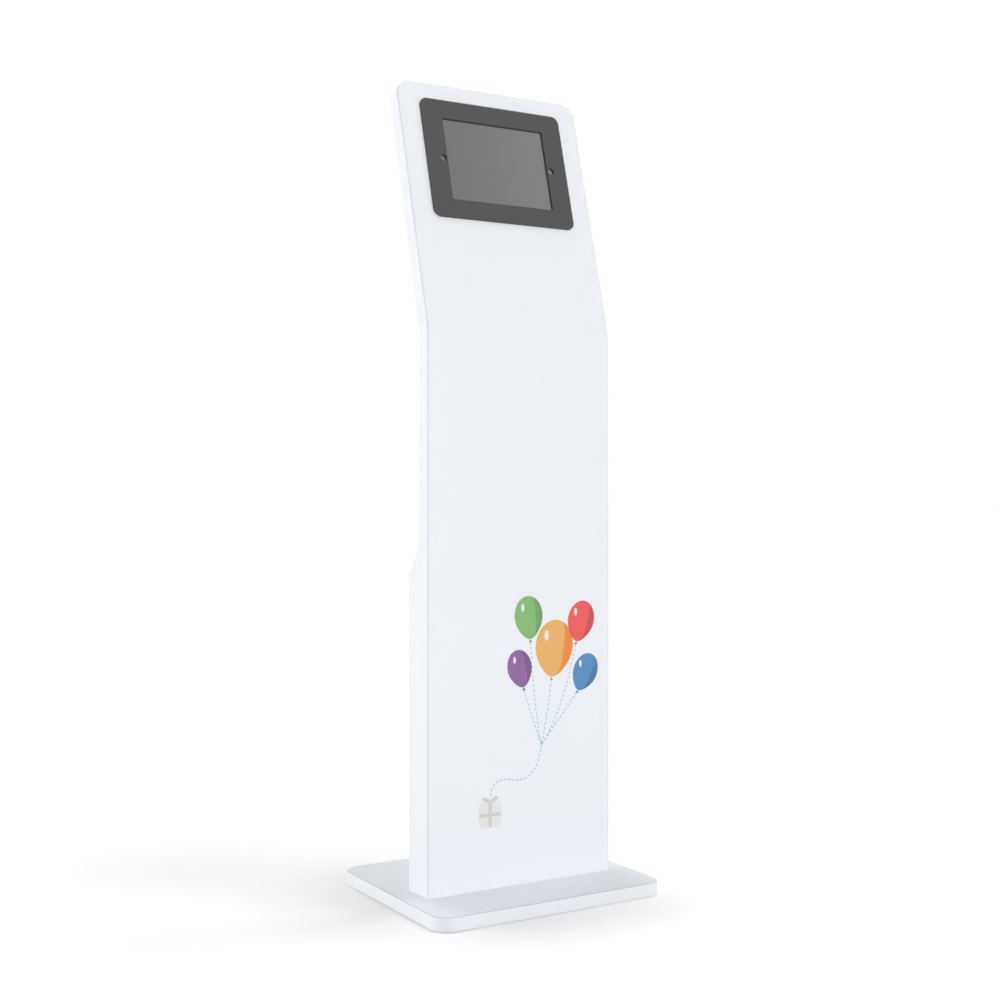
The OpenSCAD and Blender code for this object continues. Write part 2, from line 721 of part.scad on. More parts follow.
module cabinet_door() color(paint) on_base() difference() {
    translate([0, 0, (door_floor + cabinet_top) / 2]) inward(deep_d - sheet_t, deep_d)
        square([2 * door_half, cabinet_top - door_floor], center = true);
    translate([0, 0, cabinet_top - cabinet_vent_drop])
        inward(deep_d - sheet_t - over, deep_d + over) vents();
    translate([lock_x, 0, cabinet_lock_up]) lock_hole(deep_d);
    translate([notch_x, 0, 0]) inward(deep_d - sheet_t - over, deep_d + over) cable_notch(0, base_top);
}

module cable_notch_trim() color(rubber) on_base() translate([notch_x, 0, 0]) intersection() {
    difference() {
        union() {
            inward(deep_d, deep_d + trim_t) cable_notch(trim_lip, base_top);
            inward(deep_d - sheet_t - trim_t, deep_d + trim_t) cable_notch(0, base_top);
            inward(deep_d - sheet_t - trim_t, deep_d - sheet_t) cable_notch(trim_lip, base_top);
        }
        inward(deep_d - sheet_t - trim_t - over, deep_d + trim_t + over) cable_notch(-trim_t, base_top);
    }
    translate([-notch_w, 0, door_floor]) cube([2 * notch_w, 2 * deep_d, 2 * notch_h]);
}

// Hinges: leaves with knuckles on a headed pin, standing on the lip and the door
module at_hinges(low, high) for (up = [low, high]) translate([hinge_x, axis_off, up]) children();
module at_head_hinges() on_head() translate([0, slim_d, 0])
    at_hinges(head_hinge_low, head_hinge_high) children();
module at_cabinet_hinges() on_base() translate([0, deep_d, 0])
    at_hinges(cabinet_hinge_low, cabinet_hinge_high) children();

module knuckle(low, high, side) translate([0, 0, low]) difference() {
    union() {
        cylinder(r = knuckle_r, h = high - low);
        translate([side < 0 ? -axis_off : 0, -axis_off, 0]) cube([axis_off, leaf_t, high - low]);
    }
    translate([0, 0, -over]) cylinder(r = pin_r + pin_fit, h = high - low + 2 * over);
}

module frame_leaf() {
    translate([-axis_off - frame_leaf_w, -axis_off, 0]) cube([frame_leaf_w, leaf_t, hinge_len]);
    knuckle(0, knuckle_len, -1);
    knuckle(2 * knuckle_len, hinge_len, -1);
}

module door_leaf() {
    translate([axis_off, -axis_off, 0]) cube([leaf_w, leaf_t, hinge_len]);
    knuckle(knuckle_len + knuckle_gap, 2 * knuckle_len - knuckle_gap, 1);
}

module hinge_pin() {
    cylinder(r = pin_r, h = hinge_len);
    translate([0, 0, -pin_head_t]) cylinder(r = pin_head_r, h = pin_head_t);
    translate([0, 0, hinge_len]) cylinder(r = pin_head_r, h = pin_head_t);
}

module head_frame_leaves() color(zinc) at_head_hinges() frame_leaf();
module head_door_leaves() color(zinc) at_head_hinges() door_leaf();
module head_hinge_pins() color(zinc) at_head_hinges() hinge_pin();
module cabinet_frame_leaves() color(zinc) at_cabinet_hinges() frame_leaf();
module cabinet_door_leaves() color(zinc) at_cabinet_hinges() door_leaf();
module cabinet_hinge_pins() color(zinc) at_cabinet_hinges() hinge_pin();

// Locks: a threaded housing and nut in the door, a turning plug with a cam, a keeper on the frame
module at_head_lock() on_head() translate([lock_x, slim_d, head_lock_up]) children();
module at_cabinet_lock() on_base() translate([lock_x, deep_d, cabinet_lock_up]) children();

module lock_housing() difference() {
    union() {
        bar(rim_r, 0, rim_t);
        bar(lock_r, -lock_len, rim_t);
    }
    bar(plug_r + plug_fit, -lock_len - over, rim_t + over);
}

module lock_nut() difference() {
    bar(lock_hex / sqrt(3), -sheet_t - lock_nut_t, -sheet_t, 6);
    bar(lock_r + pin_fit, -sheet_t - lock_nut_t - over, -sheet_t + over);
}

module lock_plug() difference() {
    bar(plug_r, -plug_end, rim_t);
    inward(rim_t - key_depth, rim_t + over) square([key_w, key_l], center = true);
}

module lock_cam() inward(-plug_end - cam_t, -plug_end) {
    circle(plug_r + over);
    translate([-cam_w / 2, -cam_len + cam_w / 4]) square([cam_w, cam_len - cam_w / 4]);
    translate([0, -cam_len + cam_w / 4]) rounded(cam_w, cam_w / 2, cam_w / 5);
}

module lock_keeper() translate([stop_edge - lock_x, 0, -keeper_l / 2]) linear_extrude(keeper_l) polygon([
    [0, -stop_far],
    [stop_w, -stop_far],
    [stop_w, cam_gap - plug_end],
    [stop_w / 4, cam_gap - plug_end],
    [0, cam_gap + stop_w / 4 - plug_end]]);

module head_lock_housing() color(zinc) at_head_lock() lock_housing();
module head_lock_nut() color(zinc) at_head_lock() lock_nut();
module head_lock_plug() color(zinc) at_head_lock() lock_plug();
module head_lock_cam() color(zinc) at_head_lock() lock_cam();
module head_lock_keeper() color(zinc) at_head_lock() lock_keeper();
module cabinet_lock_housing() color(zinc) at_cabinet_lock() lock_housing();
module cabinet_lock_nut() color(zinc) at_cabinet_lock() lock_nut();
module cabinet_lock_plug() color(zinc) at_cabinet_lock() lock_plug();
module cabinet_lock_cam() color(zinc) at_cabinet_lock() lock_cam();
module cabinet_lock_keeper() color(zinc) at_cabinet_lock() lock_keeper();

base_cover();
ballast_plate();
rubber_feet();
foot_screws();
tower_bolts();
foot_bracket();
front_panel();
head_panel();
left_side_wall();
right_side_wall();
left_rear_frame();
right_rear_frame();
top_band();
fold_rail();
cabinet_rail();
back_panel();
back_panel_screws();
bezel();
bezel_studs();
stud_spacers();
stud_nuts();
clamp_plate();
foam_pads();
tablet_shell();
tablet_glass();
camera_lens();
home_button();
head_door();
head_frame_leaves();
head_door_leaves();
head_hinge_pins();
head_lock_housing();
head_lock_nut();
head_lock_plug();
head_lock_cam();
head_lock_keeper();
cabinet_door();
cable_notch_trim();
cabinet_frame_leaves();
cabinet_door_leaves();
cabinet_hinge_pins();
cabinet_lock_housing();
cabinet_lock_nut();
cabinet_lock_plug();
cabinet_lock_cam();
cabinet_lock_keeper();
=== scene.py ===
"""Looks of a free-standing tablet kiosk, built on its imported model. Metres, +Z up, front towards -Y."""

import math

import bmesh
import bpy
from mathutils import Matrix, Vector


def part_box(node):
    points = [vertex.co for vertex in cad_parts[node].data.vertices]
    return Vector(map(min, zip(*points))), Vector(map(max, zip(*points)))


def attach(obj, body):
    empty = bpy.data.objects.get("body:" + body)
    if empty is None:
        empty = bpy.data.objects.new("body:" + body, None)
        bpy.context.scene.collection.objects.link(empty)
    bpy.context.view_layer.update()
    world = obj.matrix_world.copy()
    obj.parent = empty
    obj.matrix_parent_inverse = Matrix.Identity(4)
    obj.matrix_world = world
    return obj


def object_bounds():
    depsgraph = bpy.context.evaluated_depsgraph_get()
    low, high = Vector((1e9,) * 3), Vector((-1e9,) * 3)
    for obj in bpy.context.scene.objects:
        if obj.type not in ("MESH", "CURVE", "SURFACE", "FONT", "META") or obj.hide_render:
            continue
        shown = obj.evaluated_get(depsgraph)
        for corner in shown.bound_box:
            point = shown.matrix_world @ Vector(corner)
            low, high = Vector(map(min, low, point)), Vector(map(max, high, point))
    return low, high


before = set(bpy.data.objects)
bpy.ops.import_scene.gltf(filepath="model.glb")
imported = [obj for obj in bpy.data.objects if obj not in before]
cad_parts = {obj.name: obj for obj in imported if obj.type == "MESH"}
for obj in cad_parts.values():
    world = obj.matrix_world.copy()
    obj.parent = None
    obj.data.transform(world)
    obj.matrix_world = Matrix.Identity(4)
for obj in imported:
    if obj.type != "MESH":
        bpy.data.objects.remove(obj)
cad_low, cad_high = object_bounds()
scene = bpy.context.scene
scene.view_settings.view_transform = "Standard"

# Camera: level, at half the stand's height, off its front left corner.
# The small shift keeps the uprights upright and sets the horizon just above the middle of the frame.
camera_stands = (-1.3105, -2.1767, 0.7002)
camera_level = math.radians(90.0)
camera_yaw = math.radians(-31.04)
camera_data = bpy.data.cameras.new("studio_camera")
camera_data.sensor_width = 36.0
camera_data.lens = 52.88
camera_data.shift_y = -0.0167
camera = bpy.data.objects.new("studio_camera", camera_data)
camera.location = camera_stands
camera.rotation_euler = (camera_level, 0.0, camera_yaw)
scene.collection.objects.link(camera)
scene.camera = camera

# Studio floor: a wide matt white sheet that runs out to the horizon and takes the stand's soft shadow.
# Seen by the camera or in a reflection, it is topped up to the white of the backdrop. The top-up is least at the
# painted shade's middle, and grows with the distance from there. So the floor round the stand is darker by painted
# shade, on top of its real shadow.
floor_half = 40.0
floor_white = 0.7
painted_shade_middle = (-0.075, -0.005, 0.0)
painted_shade_fade = (0.0, 0.43)
floor_top_up = (0.16, 0.42)


def shader_node(tree, kind, **settings):
    """A new shader node with some of its settings."""
    made = tree.nodes.new("ShaderNode" + kind)
    for name, value in settings.items():
        setattr(made, name, value)
    return made


def seen_directly(tree):
    """A socket that is 1 where the camera, a reflection or a glass looks, and 0 where light is gathered."""
    path = shader_node(tree, "LightPath")
    either = shader_node(tree, "Math", operation="MAXIMUM")
    tree.links.new(path.outputs["Is Camera Ray"], either.inputs[0])
    tree.links.new(path.outputs["Is Glossy Ray"], either.inputs[1])
    every = shader_node(tree, "Math", operation="MAXIMUM")
    tree.links.new(either.outputs[0], every.inputs[0])
    tree.links.new(path.outputs["Is Transmission Ray"], every.inputs[1])
    return every.outputs[0]


floor_paper = bpy.data.materials.new("floor_paper")
floor_paper.use_nodes = True
floor_tree = floor_paper.node_tree
floor_tree.nodes.clear()
floor_out = shader_node(floor_tree, "OutputMaterial")
floor_sum = shader_node(floor_tree, "AddShader")
floor_matt = shader_node(floor_tree, "BsdfDiffuse")
floor_matt.inputs["Color"].default_value = (floor_white, floor_white, floor_white, 1.0)
floor_glow = shader_node(floor_tree, "Emission")
floor_place = shader_node(floor_tree, "TexCoord")
floor_reach = shader_node(floor_tree, "VectorMath", operation="DISTANCE")
floor_reach.inputs[1].default_value = painted_shade_middle
floor_level = shader_node(floor_tree, "MapRange", interpolation_type="SMOOTHSTEP")
floor_level.inputs["From Min"].default_value, floor_level.inputs["From Max"].default_value = painted_shade_fade
floor_level.inputs["To Min"].default_value, floor_level.inputs["To Max"].default_value = floor_top_up
floor_lift = shader_node(floor_tree, "Math", operation="MULTIPLY")
floor_tree.links.new(floor_place.outputs["Object"], floor_reach.inputs[0])
floor_tree.links.new(floor_reach.outputs["Value"], floor_level.inputs["Value"])
floor_tree.links.new(seen_directly(floor_tree), floor_lift.inputs[0])
floor_tree.links.new(floor_level.outputs["Result"], floor_lift.inputs[1])
floor_tree.links.new(floor_lift.outputs[0], floor_glow.inputs["Strength"])
floor_tree.links.new(floor_matt.outputs[0], floor_sum.inputs[0])
floor_tree.links.new(floor_glow.outputs[0], floor_sum.inputs[1])
floor_tree.links.new(floor_sum.outputs[0], floor_out.inputs["Surface"])
floor_mesh = bpy.data.meshes.new("studio_floor")
floor_mesh.from_pydata(
    [(x * floor_half, y * floor_half, cad_low.z) for x, y in ((-1, -1), (1, -1), (1, 1), (-1, 1))],
    [],
    [(0, 1, 2, 3)],
)
floor_mesh.materials.append(floor_paper)
floor = bpy.data.objects.new("studio_floor", floor_mesh)
scene.collection.objects.link(floor)

# Studio light: a white tent whose walls glow most near the floor, and far soft boxes all round it.
# Two of these stand low, and three high, at the right, the front right and the rear. Two near boxes on the floor
# lift the foot.
tent_glow = 1.9
tent_fall_power = 3.0
backdrop_white = 1.08
floor_box_size = (1.0, 0.25)
world = bpy.data.worlds.new("studio_tent")
world.use_nodes = True
scene.world = world
world_tree = world.node_tree
world_tree.nodes.clear()
world_out = shader_node(world_tree, "OutputWorld")
world_mix = shader_node(world_tree, "MixShader")
world_light = shader_node(world_tree, "Background")
world_light.inputs["Color"].default_value = (1.0, 1.0, 1.0, 1.0)
tent_place = shader_node(world_tree, "TexCoord")
tent_parts = shader_node(world_tree, "SeparateXYZ")
tent_fall = shader_node(world_tree, "MapRange")
tent_fall.inputs["To Min"].default_value = 1.0
tent_fall.inputs["To Max"].default_value = 0.0
tent_curve = shader_node(world_tree, "Math", operation="POWER")
tent_curve.inputs[1].default_value = tent_fall_power
tent_level = shader_node(world_tree, "Math", operation="MULTIPLY")
tent_level.inputs[1].default_value = tent_glow
world_tree.links.new(tent_place.outputs["Generated"], tent_parts.inputs["Vector"])
world_tree.links.new(tent_parts.outputs["Z"], tent_fall.inputs["Value"])
world_tree.links.new(tent_fall.outputs["Result"], tent_curve.inputs[0])
world_tree.links.new(tent_curve.outputs[0], tent_level.inputs[0])
world_tree.links.new(tent_level.outputs[0], world_light.inputs["Strength"])
world_seen = shader_node(world_tree, "Background")
world_seen.inputs["Color"].default_value = (1.0, 1.0, 1.0, 1.0)
world_seen.inputs["Strength"].default_value = backdrop_white
world_tree.links.new(seen_directly(world_tree), world_mix.inputs["Fac"])
world_tree.links.new(world_light.outputs[0], world_mix.inputs[1])
world_tree.links.new(world_seen.outputs[0], world_mix.inputs[2])
world_tree.links.new(world_mix.outputs[0], world_out.inputs["Surface"])


def soft_box(name, stands, spread, strength):
    """A far soft box that stands in a direction from the kiosk and spreads over an angle in degrees."""
    data = bpy.data.lights.new(name, "SUN")
    data.angle = math.radians(spread)
    data.energy = strength
    lamp = bpy.data.objects.new(name, data)
    lamp.rotation_euler = (-Vector(stands)).to_track_quat("-Z", "Y").to_euler()
    scene.collection.objects.link(lamp)


soft_box("left_back_low_box", stands=(-0.87, 0.5, 0.06), spread=15.0, strength=1.72)
soft_box("front_low_box", stands=(0.2, -0.98, 0.08), spread=25.0, strength=1.09)
soft_box("right_front_high_box", stands=(0.33, -0.33, 0.88), spread=16.0, strength=0.6)
soft_box("right_high_box", stands=(0.47, 0.0, 0.88), spread=16.0, strength=0.54)
soft_box("back_high_box", stands=(-0.04, 0.24, 0.97), spread=14.0, strength=0.86)


def floor_box(name, stands, faces, watts):
    """A low soft box that stands on the floor near the kiosk, faces its foot, and isn't seen itself."""
    data = bpy.data.lights.new(name, "AREA")
    data.shape = "RECTANGLE"
    data.size, data.size_y = floor_box_size
    data.energy = watts
    lamp = bpy.data.objects.new(name, data)
    lamp.location = stands
    lamp.rotation_euler = (Vector(faces) - Vector(stands)).to_track_quat("-Z", "Y").to_euler()
    lamp.visible_camera = False
    scene.collection.objects.link(lamp)


floor_box("front_floor_box", stands=(0.25, -1.35, 0.2), faces=(0.0, -0.18, 0.1), watts=1.2)
floor_box("left_floor_box", stands=(-1.45, 0.25, 0.2), faces=(-0.2, 0.0, 0.1), watts=0.9)

# Base: a folded steel cover with round corners, powder coated white with a fine orange-peel skin.
# It hides a heavy steel plate, and the tower stands on it.
white_paint = (0.815, 0.84, 0.88)
white_skin = {"dimples": 900.0, "depth": 0.00004, "roughness": 0.42}
powder_tone_drift = 0.01
powder_gloss_drift = 0.03
bend_ends = 0.985


def new_group(name, inputs, outputs):
    """An empty shader node group with its sockets, each given as a label and a kind, and its two ends."""
    group = bpy.data.node_groups.new(name, "ShaderNodeTree")
    for in_out, sockets in (("INPUT", inputs), ("OUTPUT", outputs)):
        for label, kind in sockets.items():
            group.interface.new_socket(label, in_out=in_out, socket_type="NodeSocket" + kind)
    return group, group.nodes.new("NodeGroupInput"), group.nodes.new("NodeGroupOutput")


def powder_grain_group():
    """The skin of baked powder paint: its fine dimples, and a slow drift of tone over the sheet."""
    group, entry, leave = new_group(
        "powder_grain", {"Dimples Per Metre": "Float"}, {"Height": "Float", "Drift": "Float"}
    )
    place = shader_node(group, "TexCoord")
    dimples = shader_node(group, "TexNoise", noise_dimensions="3D")
    dimples.inputs["Detail"].default_value = 3.0
    dimples.inputs["Roughness"].default_value = 0.6
    drift = shader_node(group, "TexNoise", noise_dimensions="3D")
    drift.inputs["Scale"].default_value = 2.3
    drift.inputs["Detail"].default_value = 2.0
    group.links.new(place.outputs["Object"], dimples.inputs["Vector"])
    group.links.new(place.outputs["Object"], drift.inputs["Vector"])
    group.links.new(entry.outputs["Dimples Per Metre"], dimples.inputs["Scale"])
    group.links.new(dimples.outputs["Fac"], leave.inputs["Height"])
    group.links.new(drift.outputs["Fac"], leave.inputs["Drift"])
    return group


powder_grain = powder_grain_group()


def painted_bend_shade_group():
    """Painted shade on bends: a mask over the bends whose face turns between flat and a way across them."""
    group, entry, leave = new_group("painted_bend_shade", {"Across": "Vector", "Begins": "Float"}, {"Edge": "Float"})
    place = shader_node(group, "TexCoord")
    faces = shader_node(group, "VectorMath", operation="DOT_PRODUCT")
    turn = shader_node(group, "Math", operation="ABSOLUTE")
    past = shader_node(group, "Math", operation="GREATER_THAN")
    short = shader_node(group, "Math", operation="LESS_THAN")
    short.inputs[1].default_value = bend_ends
    edge = shader_node(group, "Math", operation="MULTIPLY")
    group.links.new(place.outputs["Normal"], faces.inputs[0])
    group.links.new(entry.outputs["Across"], faces.inputs[1])
    group.links.new(faces.outputs["Value"], turn.inputs[0])
    group.links.new(turn.outputs[0], past.inputs[0])
    group.links.new(entry.outputs["Begins"], past.inputs[1])
    group.links.new(turn.outputs[0], short.inputs[0])
    group.links.new(past.outputs[0], edge.inputs[0])
    group.links.new(short.outputs[0], edge.inputs[1])
    group.links.new(edge.outputs[0], leave.inputs["Edge"])
    return group


painted_bend_shade = painted_bend_shade_group()


def mixed_colour(tree, share, low, high):
    """A colour that runs from low to high as the share goes from 0 to 1."""
    mix = shader_node(tree, "Mix", data_type="RGBA")
    mix.inputs["A"].default_value = (*low, 1.0)
    mix.inputs["B"].default_value = (*high, 1.0)
    tree.links.new(share, mix.inputs["Factor"])
    return mix.outputs["Result"]


def mixed_value(tree, share, low, high):
    """A number that runs from low to high as the share goes from 0 to 1."""
    spread = shader_node(tree, "MapRange")
    spread.inputs["To Min"].default_value = low
    spread.inputs["To Max"].default_value = high
    tree.links.new(share, spread.inputs["Value"])
    return spread.outputs["Result"]


def new_finish(name):
    """A material with a Principled shader, its tree, and the shader."""
    material = bpy.data.materials.new(name)
    material.use_nodes = True
    tree = material.node_tree
    return material, tree, tree.nodes["Principled BSDF"]


def raise_skin(tree, shader, height, depth):
    """Height over the surface, in shares of a depth in metres, as a bump."""
    bump = shader_node(tree, "Bump")
    bump.inputs["Distance"].default_value = depth
    bump.inputs["Strength"].default_value = 1.0
    tree.links.new(height, bump.inputs["Height"])
    tree.links.new(bump.outputs["Normal"], shader.inputs["Normal"])


def shaded(colour, factor):
    """The colour times a factor."""
    return tuple(channel * factor for channel in colour)


def powder_coat(name, colour, dimples, depth, roughness, gloss=0.5, across=None, begins=0.2, bend_shade_tone=0.9):
    """Baked powder paint of one colour, with painted shade that greys the bends that turn to a way across them."""
    material, tree, shader = new_finish(name)
    shader.inputs["Specular IOR Level"].default_value = gloss
    grain = shader_node(tree, "Group", node_tree=powder_grain)
    grain.inputs["Dimples Per Metre"].default_value = dimples
    dull, bright = (shaded(colour, 1.0 + sign * powder_tone_drift) for sign in (-1, 1))
    tone = mixed_colour(tree, grain.outputs["Drift"], dull, bright)
    if across:
        edge = shader_node(tree, "Group", node_tree=painted_bend_shade)
        edge.inputs["Across"].default_value = across
        edge.inputs["Begins"].default_value = begins
        shaded_bend = shader_node(tree, "Mix", data_type="RGBA")
        shaded_bend.inputs["B"].default_value = (*shaded(colour, bend_shade_tone), 1.0)
        tree.links.new(edge.outputs["Edge"], shaded_bend.inputs["Factor"])
        tree.links.new(tone, shaded_bend.inputs["A"])
        tone = shaded_bend.outputs["Result"]
    tree.links.new(tone, shader.inputs["Base Color"])
    satin = mixed_value(
        tree, grain.outputs["Drift"], roughness - powder_gloss_drift, roughness + powder_gloss_drift
    )
    tree.links.new(satin, shader.inputs["Roughness"])
    raise_skin(tree, shader, grain.outputs["Height"], depth)
    return material


def dress(material, *nodes):
    """Gives CAD nodes one finish."""
    for name in nodes:
        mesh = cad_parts[name].data
        mesh.materials.clear()
        mesh.materials.append(material)


# Painted shade: the rim round the base's top is greyed along its bend.
base_powder = powder_coat(
    "base_powder", white_paint, **white_skin, across=(0.0, 0.0, 1.0), begins=0.6, bend_shade_tone=0.62
)
dress(base_powder, "base_cover")

# Ballast: a flame-cut steel plate under the cover, left in its dark mill skin.
# It takes the tower's bolts, the floor anchors and the screws of the feet.
mill_dark = (0.10, 0.10, 0.105)
mill_light = (0.24, 0.235, 0.23)
metal_gloss_drift = 0.1


def metal_grain_group():
    """Bare metal: long fine streaks along one way of the sheet, and a slow bloom."""
    group, entry, leave = new_group("metal_grain", {"Stretch": "Vector"}, {"Streak": "Float", "Bloom": "Float"})
    place = shader_node(group, "TexCoord")
    stretch = shader_node(group, "VectorMath", operation="MULTIPLY")
    streak = shader_node(group, "TexNoise", noise_dimensions="3D")
    streak.inputs["Scale"].default_value = 1.0
    streak.inputs["Detail"].default_value = 4.0
    bloom = shader_node(group, "TexNoise", noise_dimensions="3D")
    bloom.inputs["Scale"].default_value = 45.0
    bloom.inputs["Detail"].default_value = 5.0
    group.links.new(place.outputs["Object"], stretch.inputs[0])
    group.links.new(entry.outputs["Stretch"], stretch.inputs[1])
    group.links.new(stretch.outputs[0], streak.inputs["Vector"])
    group.links.new(place.outputs["Object"], bloom.inputs["Vector"])
    group.links.new(streak.outputs["Fac"], leave.inputs["Streak"])
    group.links.new(bloom.outputs["Fac"], leave.inputs["Bloom"])
    return group


metal_grain = metal_grain_group()


def bare_metal(name, dark, light, stretch, roughness, depth):
    """Metal with streaks along one way, and a slow change of tone and gloss."""
    material, tree, shader = new_finish(name)
    shader.inputs["Metallic"].default_value = 1.0
    grain = shader_node(tree, "Group", node_tree=metal_grain)
    grain.inputs["Stretch"].default_value = stretch
    tree.links.new(mixed_colour(tree, grain.outputs["Bloom"], dark, light), shader.inputs["Base Color"])
    gloss = mixed_value(tree, grain.outputs["Streak"], roughness - metal_gloss_drift, roughness + metal_gloss_drift)
    tree.links.new(gloss, shader.inputs["Roughness"])
    raise_skin(tree, shader, grain.outputs["Streak"], depth)
    return material


mill_steel = bare_metal(
    "mill_steel", mill_dark, mill_light, stretch=(60.0, 60.0, 60.0), roughness=0.6, depth=0.00005
)
dress(mill_steel, "ballast_plate")

# Feet: four moulded black rubber pads with a chamfered rim, each held by a plated screw in its counterbore.
# The rubber has a fine spark-eroded skin from its mould.
rubber_black = (0.022, 0.022, 0.023)
rubber_dusty = (0.045, 0.045, 0.046)
mould_gloss_drift = 0.08


def moulded(name, dark, light, grain_scale, depth, roughness):
    """A matt moulded skin, such as rubber or foam."""
    material, tree, shader = new_finish(name)
    grain = shader_node(tree, "Group", node_tree=powder_grain)
    grain.inputs["Dimples Per Metre"].default_value = grain_scale
    tree.links.new(mixed_colour(tree, grain.outputs["Height"], dark, light), shader.inputs["Base Color"])
    matt = mixed_value(tree, grain.outputs["Drift"], roughness - mould_gloss_drift, roughness + mould_gloss_drift)
    tree.links.new(matt, shader.inputs["Roughness"])
    raise_skin(tree, shader, grain.outputs["Height"], depth)
    return material


black_rubber = moulded(
    "black_rubber", rubber_black, rubber_dusty, grain_scale=1400.0, depth=0.00006, roughness=0.78
)
dress(black_rubber, "rubber_feet")

# Fasteners of the base: zinc plated screws in the feet, and flange bolts through the tower's bracket.
# The folded bracket is plated too, and stands inside the tower's foot.
zinc_dark = (0.46, 0.47, 0.49)
zinc_light = (0.66, 0.67, 0.68)
zinc_plate = bare_metal(
    "zinc_plate", zinc_dark, zinc_light, stretch=(300.0, 300.0, 40.0), roughness=0.36, depth=0.00001
)
dress(zinc_plate, "foot_screws", "tower_bolts", "foot_bracket")

# Tower: two folded front sheets that meet at the fold, flat stepped side walls, folded rear frames with a lip,
# a band round the head's top corners, and two rails. All are welded, ground and powder coated white.
# Painted shade: the side bends of the two front sheets are greyed.
bend_shaded_powder = powder_coat("bend_shaded_powder", white_paint, **white_skin, across=(1.0, 0.0, 0.0))
dress(bend_shaded_powder, "front_panel", "head_panel")
white_powder = powder_coat("white_powder", white_paint, **white_skin)
dress(
    white_powder,
    "left_side_wall", "right_side_wall", "left_rear_frame", "right_rear_frame",
    "top_band", "fold_rail", "cabinet_rail",
)

# Print: a bunch of balloons in thin cut film on the front panel, with dashed strings tied to a small parcel.
# Each balloon has a body, a darker shade down one side and a pale gleam, laid one over the other. Places on the
# panel are metres to the right of its middle and up from its foot.
film_sunk = 0.00004
film_ply = 0.00007
film_dimples = 2600.0
film_skin = 0.00002
film_gloss = (0.34, 0.42)
film_tone_drift = 0.04
film_orange = (0.783, 0.402, 0.102)
film_amber = (0.791, 0.220, 0.020)
film_red = (0.791, 0.080, 0.078)
film_green = (0.195, 0.450, 0.138)
film_blue = (0.061, 0.231, 0.491)
film_purple = (0.231, 0.095, 0.310)
film_teal = (0.160, 0.520, 0.580)
film_grey = (0.760, 0.760, 0.760)
film_white = (0.80, 0.80, 0.80)
balloon_shade = 0.70
ribbon_shade = 0.80
gather = (0.040, 0.232)
panel_low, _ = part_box("front_panel")


def printed_film(name, colour):
    """Satin film of one colour, with a fine grain."""
    material, tree, shader = new_finish(name)
    grain = shader_node(tree, "Group", node_tree=powder_grain)
    grain.inputs["Dimples Per Metre"].default_value = film_dimples
    dull, bright = (shaded(colour, 1.0 + sign * film_tone_drift) for sign in (-1, 1))
    tree.links.new(mixed_colour(tree, grain.outputs["Height"], dull, bright), shader.inputs["Base Color"])
    tree.links.new(mixed_value(tree, grain.outputs["Drift"], *film_gloss), shader.inputs["Roughness"])
    raise_skin(tree, shader, grain.outputs["Height"], film_skin)
    return material


def lay_film(name, shapes, *films):
    """Film cut to shapes and laid on the front panel. A shape is its outline, its ply and the slot of its film."""
    cut = bmesh.new()
    for outline, ply, slot in shapes:
        rear = [cut.verts.new((x, panel_low.y + film_sunk, panel_low.z + z)) for x, z in outline]
        fore = [cut.verts.new((v.co.x, panel_low.y - film_ply * ply, v.co.z)) for v in rear]
        faces = [cut.faces.new(fore), cut.faces.new(rear[::-1])]
        for i, j in zip(range(len(rear)), [*range(1, len(rear)), 0]):
            faces.append(cut.faces.new((rear[i], rear[j], fore[j], fore[i])))
        for face in faces:
            face.material_index = slot
    bmesh.ops.recalc_face_normals(cut, faces=cut.faces)
    mesh = bpy.data.meshes.new(name)
    cut.to_mesh(mesh)
    cut.free()
    for film in films:
        mesh.materials.append(film)
    piece = bpy.data.objects.new(name, mesh)
    scene.collection.objects.link(piece)
    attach(piece, "root")


def balloon_point(middle, half_w, half_h, turn, squeeze=1.0, lean_share=0.7, narrow=0.28, long=1.16):
    """A point on a balloon's outline, a turn from its top. It narrows to its neck and leans with its string."""
    lean = lean_share * math.atan2(gather[0] - middle[0], middle[1] - gather[1])
    x, z = half_w * math.sin(turn) * squeeze, half_h * math.cos(turn)
    if z < 0.0:
        x, z = x * (1.0 - narrow * (z / half_h) ** 2), long * z
    return middle[0] + x * math.cos(lean) - z * math.sin(lean), middle[1] + x * math.sin(lean) + z * math.cos(lean)


def balloon_body(middle, half_w, half_h, steps=64):
    """The whole outline of a balloon."""
    return [balloon_point(middle, half_w, half_h, math.tau * i / steps) for i in range(steps)]


def balloon_dark_side(middle, half_w, half_h, begins=12.0, spans=156.0, rim=0.97, horns=0.95, hollow=0.45, steps=24):
    """A crescent just inside a balloon's right side, which begins at and spans some degrees from the top."""
    turns = [math.radians(begins + spans * i / steps) for i in range(steps + 1)]
    squeezes = [horns - hollow * math.sin(math.pi * i / steps) for i in range(steps + 1)]
    outer = [balloon_point(middle, half_w, half_h, turn, rim) for turn in turns]
    inner = [balloon_point(middle, half_w, half_h, turn, squeeze) for turn, squeeze in zip(turns, squeezes)]
    return outer + inner[-2:0:-1]


def balloon_gleam(middle, half_w, half_h, away=0.42, wide=0.11, tall=0.20, steps=24):
    """A small oval at a balloon's upper left, its place and size in shares of the balloon's."""
    return [
        (
            middle[0] - away * half_w + wide * half_w * math.sin(turn),
            middle[1] + away * half_h + tall * half_h * math.cos(turn),
        )
        for turn in (math.tau * i / steps for i in range(steps))
    ]


